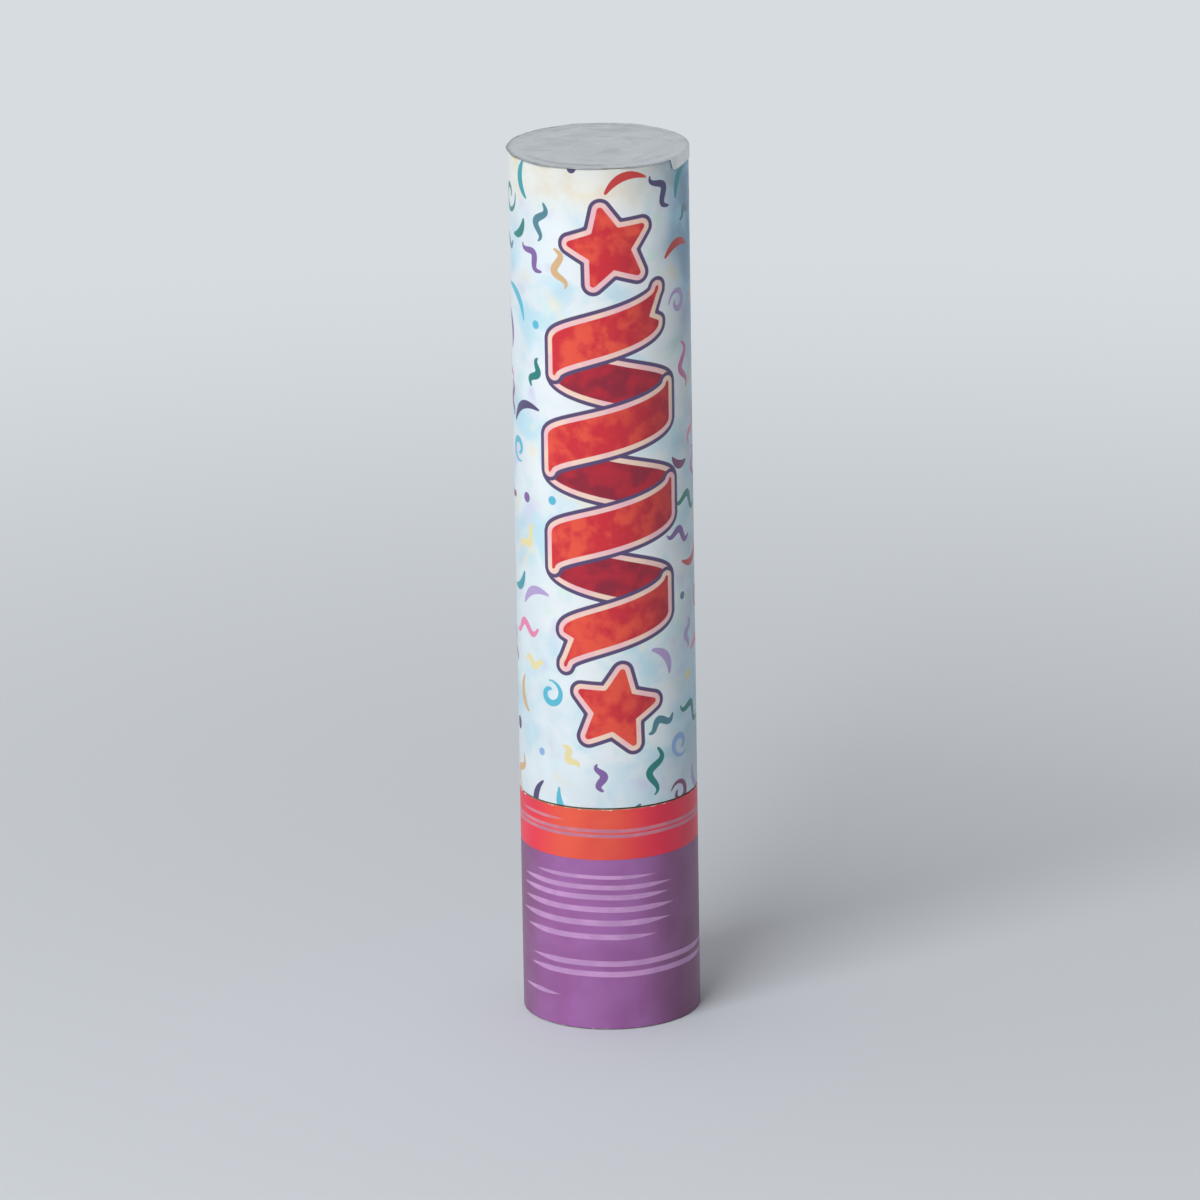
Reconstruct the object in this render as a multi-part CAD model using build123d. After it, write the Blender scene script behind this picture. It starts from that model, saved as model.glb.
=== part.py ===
from build123d import *
import math
import os

# Hand-held confetti popper, fired by compressed air when the barrel is twisted on the grip.
# Millimetres, +Z up. The origin is at the centre of the base, on the surface that it stands on.

# Outside
body_diameter = 50.0      # over the printed wraps
grip_height = 64.8        # lower sleeve, held in one hand
seam_gap = 0.4            # open line between the grip and the barrel that turns on it
barrel_length = 184.4     # upper sleeve, held in the other hand

# Paper, board and foil
tube_wall = 1.7           # spiral-wound board
wrap_thickness = 0.3      # printed paper
wrap_setback = 0.1        # a wrap stops this far short of its tube's ends
band_height = 14.7        # red band at the top of the grip
foil_thickness = 0.3      # crumpled foil, as thick as it lies
foil_standoff = 0.25      # foil skirt to barrel wrap
foil_edge_depth = 0.8     # of the foil turned down round the mouth
foil_flap_depth = 4.2     # where more of it is turned down, on the right
foil_flap_width = 55.0    # degrees
foil_flap_middle = -10.0  # degrees from +X

# Clearances
glue_gap = 0.15           # a piece glued into a tube
running_gap = 0.15        # pieces that turn or slide in each other
seat_gap = 0.1            # flat faces of different pieces that rest on each other
seal_gap = 0.05           # round a seal ring, which lies squeezed

# Base plug
base_recess = 1.5         # plug to the surface that the popper stands on
base_plate = 2.0
base_skirt_height = 4.4
base_skirt_wall = 2.3
base_hole_radius = 6.0    # way in to the filling valve
edge_break = 0.5          # chamfer on the edges that show from below

# Air tank
tank_floor = 4.0
tank_wall = 2.2
head_plate = 4.0
spigot_length = 8.0       # part of the head that goes down into the cup
spigot_wall = 3.0
tank_ring_section = 1.9   # diameter of the seal ring's cord

# Tank outlet
throat_radius = 7.0       # bore that the stopper closes
throat_length = 6.0       # from the underside of the head
throat_step = 1.2         # throat to the wider bore above it
neck_wall = 2.4
neck_slot_gap = 0.2       # each side of the lift pin, which the slot keeps from turning
neck_slot_floor = 1.0     # under the lift pin

# Twist joint
spigot_depth = 11.8       # breech collar's reach down into the grip
washer_thickness = 0.8
washer_width = 7.0        # from its hole to its edge
clip_thickness = 1.0
clip_width = 2.6
clip_groove_depth = 1.0
clip_gap = 0.3            # play under the clip
clip_opening = 60.0       # degrees

# Breech collar and its cam
collar_wall = 2.5
web_thickness = 4.0
cam_depth = 3.0           # of the grooves that the lift pin runs in
cam_lift = 6.0            # stopper's rise over the whole twist
twist_angle = 75.0        # degrees
cam_cover = 7.0           # cam above the lift pin's highest place
chamber_height = 8.0      # room between the cam and the pusher

# Stopper and lift pin
stopper_ring_section = 1.9
stopper_stem_radius = 4.4
stopper_knob_height = 7.0
pin_radius = 1.5
pin_height = 6.0          # lift pin's axis above the collar's web
pin_end_gap = 0.4         # lift pin to the bottom of the grooves

# Filling valve
gasket_thickness = 1.0
flange_radius = 8.0
flange_thickness = 1.8
shank_radius = 4.9
shank_above_floor = 8.0
socket_radius = 3.0       # seat of the filling nozzle
socket_depth = 4.1
port_radius = 1.5
port_length = 1.2
spring_room_radius = 3.2
nut_across_flats = 13.0
nut_thickness = 3.0
keeper_thickness = 1.5
keeper_vent_radius = 1.2
poppet_side_gap = 0.5     # way for the air round the poppet
poppet_thickness = 1.2
poppet_seal_thickness = 0.6
poppet_stem_gap = 0.4     # way for the air through the port
poppet_guide_radius = 1.0
poppet_guide_length = 2.0
poppet_play = 0.1         # stem's end above the socket
spring_wire = 0.5         # wound midway between the poppet's guide and the valve's wall
spring_turns = 5

# Load
pusher_thickness = 2.5
wad_thickness = 6.0
load_gap = 0.4            # load to barrel
headroom = 8.6            # space between the load and the barrel's mouth
roll_height = 8.0         # width of the paper streamer
roll_layers = 2
roll_hole_radius = 2.5
slip_layers = 3           # confetti slips stand in bundles and fill the rest of the barrel
layer_gap = 0.2
bundle_gap = 0.1
bundle_angle = 35.0       # degrees, between a bundle's diagonal and its wide side

# Radii that follow
body_radius = body_diameter / 2
tube_radius = body_radius - wrap_thickness
bore_radius = tube_radius - tube_wall
glued_radius = bore_radius - glue_gap
turning_radius = bore_radius - max(glue_gap, running_gap)
cup_bore_radius = glued_radius - tank_wall
neck_bore_radius = throat_radius + throat_step
neck_radius = neck_bore_radius + neck_wall
collar_inner_radius = turning_radius - collar_wall
cam_radius = collar_inner_radius - cam_depth
clip_groove_radius = neck_radius - clip_groove_depth
poppet_radius = spring_room_radius - poppet_side_gap
poppet_stem_radius = port_radius - poppet_stem_gap
spring_radius = (poppet_guide_radius + spring_room_radius) / 2
load_radius = bore_radius - load_gap

# Heights that follow, from the base up
base_plate_top = base_recess + base_plate
tank_bottom = base_plate_top + base_skirt_height + seat_gap
tank_floor_top = tank_bottom + tank_floor
collar_bottom = grip_height - spigot_depth
washer_bottom = collar_bottom - seat_gap - washer_thickness
head_top = washer_bottom - seat_gap
head_bottom = head_top - head_plate
throat_top = head_bottom + throat_length
web_top = collar_bottom + web_thickness
clip_bottom = web_top + clip_gap
pin_level = web_top + pin_height
cam_top = pin_level + cam_lift + cam_cover
collar_top = cam_top + chamber_height
barrel_bottom = grip_height + seam_gap
barrel_top = barrel_bottom + barrel_length
pusher_bottom = collar_top + seat_gap
wad_bottom = pusher_bottom + pusher_thickness
rolls_bottom = wad_bottom + wad_thickness
slips_bottom = rolls_bottom + roll_layers * roll_height
slips_top = barrel_top - headroom
slip_length = (slips_top - slips_bottom + layer_gap) / slip_layers - layer_gap
foil_bottom = barrel_top + seat_gap

# Filling valve's heights, from its flange up
flange_top = tank_bottom - gasket_thickness
flange_bottom = flange_top - flange_thickness
socket_top = flange_bottom + socket_depth
port_top = socket_top + port_length
poppet_bottom = port_top + poppet_seal_thickness
poppet_top = poppet_bottom + poppet_thickness
shank_top = tank_floor_top + shank_above_floor
keeper_bottom = shank_top - keeper_thickness


def turned(outline):
    """Solid of revolution of a closed (radius, height) outline about the axis."""
    return revolve(Plane.XZ * make_face(Polyline(*outline, close=True)), Axis.Z)


def ring(inner, outer, bottom, top):
    """Straight-walled ring about the axis."""
    return turned([(inner, bottom), (outer, bottom), (outer, top), (inner, top)])


def disc(radius, bottom, top):
    """Plain disc about the axis."""
    return ring(0, radius, bottom, top)


def seal_ring(inner, outer, level, section):
    """Round-section ring that fills the gap between two radii, less the seal's clearance."""
    cord_radius = min(section, outer - inner) / 2 - seal_gap
    return Pos(0, 0, level) * Torus((inner + outer) / 2, cord_radius)


def ring_groove(outer, level, section):
    """Square groove in a post of that radius for a seal ring."""
    return ring(outer - section, outer + section, level - section / 2, level + section / 2)


def polar(radius, degrees):
    """Point on a circle about the axis."""
    turn = math.radians(degrees)
    return radius * math.cos(turn), radius * math.sin(turn)


def sector(reach, middle, width, bottom, top):
    """Wedge about the axis, from the middle direction half its width to each side, in degrees."""
    outline = Polyline(
        (0, 0), polar(reach, middle - width / 2), polar(reach, middle + width / 2), close=True
    )
    return extrude(Pos(0, 0, bottom) * make_face(outline), top - bottom)


# Grip

def grip_tube():
    return ring(bore_radius, tube_radius, 0, grip_height)


def grip_wrap():
    return ring(tube_radius, body_radius, wrap_setback, grip_height - wrap_setback - band_height)


def red_band():
    top = grip_height - wrap_setback
    return ring(tube_radius, body_radius, top - band_height, top)


def base_plug():
    """Cup-shaped plug: a plate with the valve's hole, and a skirt that the tank stands on."""
    skirt_top = base_plate_top + base_skirt_height
    return turned([
        (base_hole_radius + edge_break, base_recess),
        (glued_radius - edge_break, base_recess),
        (glued_radius, base_recess + edge_break),
        (glued_radius, skirt_top),
        (glued_radius - base_skirt_wall, skirt_top),
        (glued_radius - base_skirt_wall, base_plate_top),
        (base_hole_radius, base_plate_top),
        (base_hole_radius, base_recess + edge_break),
    ])


# Air tank

def tank_cup():
    return turned([
        (shank_radius + seat_gap, tank_bottom),
        (glued_radius, tank_bottom),
        (glued_radius, head_bottom),
        (cup_bore_radius, head_bottom),
        (cup_bore_radius, tank_floor_top),
        (shank_radius + seat_gap, tank_floor_top),
    ])


spigot_radius = cup_bore_radius - glue_gap
spigot_ring_level = head_bottom - spigot_length / 2


def tank_head():
    """Lid of the tank: a spigot with a seal groove below, and a slotted neck round the outlet above."""
    body = turned([
        (throat_radius, head_bottom),
        (spigot_radius - spigot_wall, head_bottom),
        (spigot_radius - spigot_wall, head_bottom - spigot_length),
        (spigot_radius, head_bottom - spigot_length),
        (spigot_radius, head_bottom),
        (glued_radius, head_bottom),
        (glued_radius, head_top),
        (neck_radius, head_top),
        (neck_radius, cam_top),
        (neck_bore_radius, cam_top),
        (neck_bore_radius, throat_top),
        (throat_radius, throat_top),
    ])
    slot = Pos(0, 0, pin_level - pin_radius - neck_slot_floor) * Box(
        2 * (neck_radius + neck_wall),
        2 * (pin_radius + neck_slot_gap),
        cam_top,
        align=(Align.CENTER, Align.CENTER, Align.MIN),
    )
    clip_groove = ring(
        clip_groove_radius,
        neck_radius + clip_groove_depth,
        clip_bottom - seat_gap,
        clip_bottom + clip_thickness + seat_gap,
    )
    return body - slot - clip_groove - ring_groove(spigot_radius, spigot_ring_level, tank_ring_section)


def tank_seal_ring():
    return seal_ring(
        spigot_radius - tank_ring_section, cup_bore_radius, spigot_ring_level, tank_ring_section
    )


def slip_washer():
    inner = neck_radius + running_gap
    return ring(inner, inner + washer_width, washer_bottom, washer_bottom + washer_thickness)


def retaining_clip():
    """Open ring sprung into the neck's groove, over the collar's web."""
    inner = clip_groove_radius + seal_gap
    outer = inner + clip_width
    top = clip_bottom + clip_thickness
    return ring(inner, outer, clip_bottom, top) - sector(2 * outer, 90, clip_opening, clip_bottom, top)


# Filling valve

def valve_body():
    return turned([
        (socket_radius, flange_bottom),
        (flange_radius - edge_break, flange_bottom),
        (flange_radius, flange_bottom + edge_break),
        (flange_radius, flange_top),
        (shank_radius, flange_top),
        (shank_radius, shank_top),
        (spring_room_radius, shank_top),
        (spring_room_radius, port_top),
        (port_radius, port_top),
        (port_radius, socket_top),
        (socket_radius, socket_top),
    ])


def valve_gasket():
    return ring(shank_radius + seal_gap, flange_radius, flange_top, tank_bottom)


def valve_nut():
    hexagon = RegularPolygon(nut_across_flats / 2, 6, major_radius=False)
    outside = extrude(Pos(0, 0, tank_floor_top) * hexagon, nut_thickness)
    return outside - disc(shank_radius + seal_gap, 0, shank_top)


def valve_keeper():
    """Vented plug that holds the spring down in the valve."""
    return ring(keeper_vent_radius, spring_room_radius - seal_gap, keeper_bottom, shank_top)


def valve_pin():
    """Poppet with a stem in the port below it and a guide in the spring above it."""
    return turned([
        (0, socket_top + poppet_play),
        (poppet_stem_radius, socket_top + poppet_play),
        (poppet_stem_radius, poppet_bottom),
        (poppet_radius, poppet_bottom),
        (poppet_radius, poppet_top),
        (poppet_guide_radius, poppet_top),
        (poppet_guide_radius, poppet_top + poppet_guide_length),
        (0, poppet_top + poppet_guide_length),
    ])


def valve_pin_seal():
    return ring(
        poppet_stem_radius + seal_gap, poppet_radius, port_top + seal_gap, poppet_bottom - seal_gap
    )


def helix_point(turns, bottom, pitch):
    """Place and direction on the spring's centre line after that many turns."""
    x, y = polar(spring_radius, 360 * turns)
    climb = pitch / (2 * math.pi)
    return Vector(x, y, bottom + pitch * turns), Vector(-y, x, climb).normalized()


def biarc(start, start_way, end, end_way):
    """Two arcs that leave start along start_way, meet smoothly and arrive at end along end_way."""
    span, ways = end - start, start_way + end_way
    spread = 2 * (1 - start_way.dot(end_way))
    along = span.dot(ways)
    reach = (math.sqrt(along ** 2 + spread * span.dot(span)) - along) / spread
    middle = (start + end + (start_way - end_way) * reach) / 2
    first = Edge.make_tangent_arc(start, start_way, middle)
    return [first, Edge.make_tangent_arc(middle, first % 1, end)]


def valve_spring():
    """Round wire wound on the poppet, swept along quarter turns of two arcs each."""
    bottom = poppet_top + spring_wire / 2 + seal_gap
    pitch = (keeper_bottom - seal_gap - spring_wire / 2 - bottom) / spring_turns
    print(f"valve spring: gap between turns {pitch - spring_wire:.2f} mm")
    stations = [helix_point(i / 4, bottom, pitch) for i in range(4 * spring_turns + 1)]
    path = Wire([edge for a, b in zip(stations, stations[1:]) for edge in biarc(*a, *b)])
    start, way = stations[0]
    section = Plane(origin=start, x_dir=(0, 0, 1), z_dir=way) * Circle(spring_wire / 2)
    return sweep(section, path)


# Barrel

def barrel_tube():
    return ring(bore_radius, tube_radius, barrel_bottom, barrel_top)


def barrel_wrap():
    return ring(tube_radius, body_radius, barrel_bottom + wrap_setback, barrel_top - wrap_setback)


def cam_groove():
    """Helical groove in the collar's wall, lowest at the resting pin, open upwards at its high end."""
    width = 2 * cam_depth
    rise_per_degree = cam_lift / twist_angle
    slope = math.degrees(rise_per_degree) / cam_radius
    opening = 2 * (pin_radius * math.hypot(1, slope) + running_gap)
    margin = math.degrees(math.asin((pin_radius + running_gap) / cam_radius))
    path = Helix(
        360 * rise_per_degree, rise_per_degree * (twist_angle + 2 * margin), cam_radius, lefthand=True
    )
    section = Plane.XZ * Pos(cam_radius, 0) * Rectangle(width, opening)
    helical = Pos(0, 0, pin_level - rise_per_degree * margin) * Rot(0, 0, margin) * sweep(
        section, path, is_frenet=True
    )
    exit_bottom = pin_level + cam_lift
    way_out = Rot(0, 0, -twist_angle) * Pos(cam_radius, 0, exit_bottom) * Box(
        width, 2 * (pin_radius + running_gap), cam_top, align=(Align.CENTER, Align.CENTER, Align.MIN)
    )
    return helical + (way_out & disc(collar_inner_radius, exit_bottom, collar_top))


def breech_collar():
    """Sleeve glued into the barrel that turns in the grip, with a web round the neck and cam grooves."""
    body = turned([
        (neck_radius + running_gap, collar_bottom),
        (turning_radius, collar_bottom),
        (turning_radius, collar_top),
        (collar_inner_radius, collar_top),
        (collar_inner_radius, cam_top),
        (cam_radius, cam_top),
        (cam_radius, web_top),
        (neck_radius + running_gap, web_top),
    ])
    groove = cam_groove()
    return body - groove - Rot(0, 0, 180) * groove


# Stopper

stopper_radius = throat_radius - running_gap
stopper_ring_level = (head_bottom + throat_top) / 2
stopper_top = pin_level + stopper_knob_height


def stopper():
    """Plug with a seal groove in the tank's throat, and a stem up to the lift pin."""
    body = turned([
        (0, head_bottom),
        (stopper_radius, head_bottom),
        (stopper_radius, throat_top),
        (stopper_stem_radius, throat_top),
        (stopper_stem_radius, stopper_top),
        (0, stopper_top),
    ])
    pin_hole = Pos(0, 0, pin_level) * Rot(0, 90, 0) * Cylinder(pin_radius + seal_gap, body_diameter)
    return body - pin_hole - ring_groove(stopper_radius, stopper_ring_level, stopper_ring_section)


def stopper_seal_ring():
    return seal_ring(
        stopper_radius - stopper_ring_section, throat_radius, stopper_ring_level, stopper_ring_section
    )


def lift_pin():
    length = 2 * (collar_inner_radius - pin_end_gap)
    return Pos(0, 0, pin_level) * Rot(0, 90, 0) * Cylinder(pin_radius, length)


# Load and foil

def pusher_disc():
    return disc(load_radius, pusher_bottom, wad_bottom)


def felt_wad():
    return disc(load_radius, wad_bottom, rolls_bottom)


def streamer_rolls():
    """Layers of three rolls that touch the barrel's lining and nearly touch each other."""
    packed = load_radius / (1 + 2 / math.sqrt(3))
    rolls = []
    for layer in range(roll_layers):
        bottom = rolls_bottom + layer * roll_height
        roll = ring(roll_hole_radius, packed - bundle_gap, bottom, bottom + roll_height)
        for i in range(3):
            rolls.append(Pos(*polar(load_radius - packed, 120 * i + 60 * layer)) * roll)
    return Compound(children=rolls)


cell_radius = load_radius / 3


def slip_bundles(places):
    """Bundles of slips on edge, one in each named place of a hexagonal packing, in every layer."""
    half_diagonal = cell_radius - bundle_gap
    lean = math.radians(bundle_angle)
    bundle = Box(
        2 * half_diagonal * math.sin(lean),
        2 * half_diagonal * math.cos(lean),
        slip_length,
        align=(Align.CENTER, Align.CENTER, Align.MIN),
    )
    bundles = []
    for layer in range(slip_layers):
        bottom = slips_bottom + layer * (slip_length + layer_gap)
        for radius, degrees in places:
            bundles.append(Rot(0, 0, degrees) * Pos(radius, 0, bottom) * bundle)
    return Compound(children=bundles)


def paper_slips():
    return slip_bundles([(0, 0)] + [(2 * cell_radius, 120 * i) for i in range(3)])


def foil_slips():
    return slip_bundles([(2 * cell_radius, 120 * i + 60) for i in range(3)])


def foil_seal():
    """Foil pressed over the mouth, its edge turned down a little all round and further at one flap."""
    inner = body_radius + foil_standoff
    outer = inner + foil_thickness
    top = foil_bottom + foil_thickness
    edge = ring(inner, outer, foil_bottom - foil_edge_depth, foil_bottom)
    flap_bottom = foil_bottom - foil_flap_depth
    flap = ring(inner, outer, flap_bottom, foil_bottom) & sector(
        2 * outer, foil_flap_middle, foil_flap_width, flap_bottom, foil_bottom
    )
    return disc(outer, foil_bottom, top) + edge + flap


NODES = [
    grip_tube, grip_wrap, red_band, base_plug,
    tank_cup, tank_head, tank_seal_ring, slip_washer, retaining_clip,
    valve_body, valve_gasket, valve_nut, valve_keeper, valve_pin, valve_pin_seal, valve_spring,
    barrel_tube, barrel_wrap, breech_collar,
    stopper, stopper_seal_ring, lift_pin,
    pusher_disc, felt_wad, streamer_rolls, paper_slips, foil_slips, foil_seal,
]

os.makedirs("parts", exist_ok=True)
for node in NODES:
    export_step(node(), f"parts/{node.__name__}.step")
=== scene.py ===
"""Twist-fired confetti popper: printed paper on board tubes, foil over the mouth, the paper load, and the
air tank with its valve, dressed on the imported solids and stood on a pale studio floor.

Lengths are in millimetres until a mesh is made. Angles round the tube start at the front and grow to the
right.
"""
import math

import bpy
import numpy as np
from mathutils import Matrix, Vector


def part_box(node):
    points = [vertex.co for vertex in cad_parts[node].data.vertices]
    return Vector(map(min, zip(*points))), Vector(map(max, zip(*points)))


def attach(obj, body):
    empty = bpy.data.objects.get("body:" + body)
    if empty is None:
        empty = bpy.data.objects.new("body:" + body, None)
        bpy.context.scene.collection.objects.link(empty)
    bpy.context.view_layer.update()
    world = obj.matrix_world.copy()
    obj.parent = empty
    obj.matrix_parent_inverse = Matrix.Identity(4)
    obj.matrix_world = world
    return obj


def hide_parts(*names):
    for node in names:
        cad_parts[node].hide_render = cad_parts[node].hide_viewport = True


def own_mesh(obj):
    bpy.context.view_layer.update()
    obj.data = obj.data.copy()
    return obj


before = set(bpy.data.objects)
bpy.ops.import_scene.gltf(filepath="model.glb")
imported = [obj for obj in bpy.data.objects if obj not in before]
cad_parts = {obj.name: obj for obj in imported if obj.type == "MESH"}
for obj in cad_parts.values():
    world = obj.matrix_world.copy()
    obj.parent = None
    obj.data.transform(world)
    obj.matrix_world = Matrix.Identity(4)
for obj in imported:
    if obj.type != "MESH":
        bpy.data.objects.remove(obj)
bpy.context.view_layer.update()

mm = 0.001
full_turn = 2 * math.pi
tiny = 1e-12              # keeps a division off zero


def reach_of(node):
    """Lowest and highest level of a solid, and its radius about the tube's axis, in mm."""
    low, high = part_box(node)
    return low.z / mm, high.z / mm, high.x / mm


def ramp(values, start, end):
    """Smooth step from 0 at start to 1 at end."""
    t = np.clip((values - start) / (end - start), 0, 1)
    return t * t * (3 - 2 * t)


def short_way(offset, turn):
    """An offset round the tube, counted the short way: at most half a turn back or on."""
    return (offset + turn / 2) % turn - turn / 2


# Meshes

def skin(rows, columns, wrap_rows=False, pole_start=False, pole_end=False):
    """Faces of a grid whose columns go round and join. Wrapped rows join the last row to the first, and a
    pole row is drawn in to its first point, which leaves triangles round it."""
    index = np.arange(rows * columns).reshape(rows, columns)
    if pole_start:
        index[0] = index[0, 0]
    if pole_end:
        index[-1] = index[-1, 0]
    if wrap_rows:
        index = np.vstack([index, index[:1]])
    index = np.hstack([index, index[:, :1]])
    corners = [index[:-1, :-1], index[:-1, 1:], index[1:, 1:], index[1:, :-1]]
    return np.stack(corners, -1).reshape(-1, 4)


def build(name, points, faces, material, crease=40.0, marks=None):
    """Makes a mesh piece at the origin from points in mm and faces of four corners. A corner that repeats the
    one before it is dropped, and points that no face uses are left out. Edges bent by more than the crease,
    in degrees, stay sharp. Marks are values kept at the points."""
    points = points.reshape(-1, 3)
    used, corners = np.unique(faces, return_inverse=True)
    corners = corners.reshape(faces.shape)
    kept = corners != np.roll(corners, 1, axis=1)
    sizes = kept.sum(1)
    loops = corners[kept]
    mesh = bpy.data.meshes.new(name)
    mesh.vertices.add(len(used))
    mesh.vertices.foreach_set("co", (points[used] * mm).astype(np.float32).ravel())
    mesh.loops.add(len(loops))
    mesh.loops.foreach_set("vertex_index", loops.astype(np.int32))
    mesh.polygons.add(len(sizes))
    mesh.polygons.foreach_set("loop_start", (np.cumsum(sizes) - sizes).astype(np.int32))
    mesh.update(calc_edges=True)
    mesh.shade_smooth()
    mesh.set_sharp_from_angle(angle=math.radians(crease))
    for key, values in (marks or {}).items():
        values = np.asarray(values, np.float32).reshape(len(points), -1)[used]
        kind, field = ("FLOAT", "value") if values.shape[1] == 1 else ("FLOAT_COLOR", "color")
        mesh.attributes.new(key, kind, "POINT").data.foreach_set(field, values.ravel())
    mesh.materials.append(material)
    piece = bpy.data.objects.new(name, mesh)
    bpy.context.scene.collection.objects.link(piece)
    return piece


def place(piece, body, slot, *nodes):
    """Lets a piece ride on its body and hides the solids that it stands for. The slot is not used."""
    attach(piece, body)
    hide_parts(*nodes)


# Materials

def linear(code):
    """Linear colour of an sRGB hex value."""
    values = np.array([int(code[i:i + 2], 16) for i in (1, 3, 5)]) / 255
    values = np.where(values <= 0.04045, values / 12.92, ((values + 0.055) / 1.055) ** 2.4)
    return (*values.tolist(), 1.0)


def add(tree, kind, inputs=None, **settings):
    """Adds one node: settings are its own, and inputs go to its sockets as values or as links."""
    node = tree.nodes.new(kind)
    for key, value in settings.items():
        setattr(node, key, value)
    for key, value in (inputs or {}).items():
        if isinstance(value, bpy.types.NodeSocket):
            tree.links.new(value, node.inputs[key])
        else:
            node.inputs[key].default_value = value
    return node


# Sockets of a colour mix
share, under, over, mixed = 0, 6, 7, 2


def start_material(name, **values):
    """A material with one main shader, and the values that are the same all over it."""
    material = bpy.data.materials.new(name)
    material.use_nodes = True
    tree = material.node_tree
    tree.nodes.clear()
    values = {key.replace("_", " "): value for key, value in values.items()}
    shader = add(tree, "ShaderNodeBsdfPrincipled", values)
    add(tree, "ShaderNodeOutputMaterial", {"Surface": shader.outputs["BSDF"]})
    return material, tree, shader


def per(size):
    """Noise scale that makes its features about that many mm across."""
    return 1 / (size * mm)


ink_edge = 0.12           # over which a printed edge goes from one ink to the next


def inked(tree, ground, ink, distance, reach):
    """Ink laid over the ground wherever the distance, in mm, is below reach."""
    cover = add(
        tree, "ShaderNodeMapRange",
        {"Value": distance, "From Min": reach + ink_edge, "From Max": reach - ink_edge},
        interpolation_type="SMOOTHSTEP",
    )
    inputs = {share: cover.outputs["Result"], under: ground, over: ink}
    return add(tree, "ShaderNodeMix", inputs, data_type="RGBA").outputs[mixed]


def varied(tree, first, second, where, size, low=0.35, high=0.65, detail=2.0, distortion=0.0):
    """Two colours that drift into each other in patches of that many mm. Low and high are the noise at which
    the second colour starts and is full."""
    patch = add(
        tree, "ShaderNodeTexNoise",
        {"Vector": where, "Scale": per(size), "Detail": detail, "Distortion": distortion},
    )
    spread = add(
        tree, "ShaderNodeMapRange", {"Value": patch.outputs["Fac"], "From Min": low, "From Max": high},
        interpolation_type="SMOOTHSTEP",
    )
    inputs = {share: spread.outputs["Result"], under: first, over: second}
    return add(tree, "ShaderNodeMix", inputs, data_type="RGBA").outputs[mixed]


def grained(tree, shader, where, size, depth):
    """Fine relief from noise of that many mm across and deep."""
    grain = add(tree, "ShaderNodeTexNoise", {"Vector": where, "Scale": per(size), "Detail": 3.0})
    bump = add(tree, "ShaderNodeBump", {"Height": grain.outputs["Fac"], "Distance": depth * mm})
    tree.links.new(bump.outputs["Normal"], shader.inputs["Normal"])
    return grain.outputs["Fac"]


paper_grain, paper_relief = 0.9, 0.012
rub_speck = 1.6           # size of the specks
rub_reach = 0.48          # how far from the edge they go at most
rub_bite = 1.3            # how much of that the noise takes away
rub_core = 0.06           # width of the bare core that is left


def rubbed(tree, ground, where):
    """Ink rubbed off in specks along a paper's cut edges, where its white core shows."""
    edge = add(tree, "ShaderNodeAttribute", attribute_name="edge_mm").outputs["Fac"]
    specks = add(tree, "ShaderNodeTexNoise", {"Vector": where, "Scale": per(rub_speck), "Detail": 4.0})
    inputs = {0: specks.outputs["Fac"], 1: -rub_bite, 2: rub_reach}
    eaten = add(tree, "ShaderNodeMath", inputs, operation="MULTIPLY_ADD")
    worn = add(tree, "ShaderNodeMath", {0: edge, 1: eaten.outputs["Value"]}, operation="SUBTRACT")
    return inked(tree, ground, linear("#e9e3dc"), worn.outputs["Value"], rub_core)


# Fainter tints over the label's clouds: colour, patch size, and the noise where it starts and is full
cloud_tints = [("#dbd8ec", 11.0, 0.58, 0.74), ("#ece9d9", 10.0, 0.6, 0.76), ("#d6ede6", 8.0, 0.6, 0.76)]
outline_reach, rim_reach = 2.5, 1.4     # dark outline and pale rim, past the edge of a drawing


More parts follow.
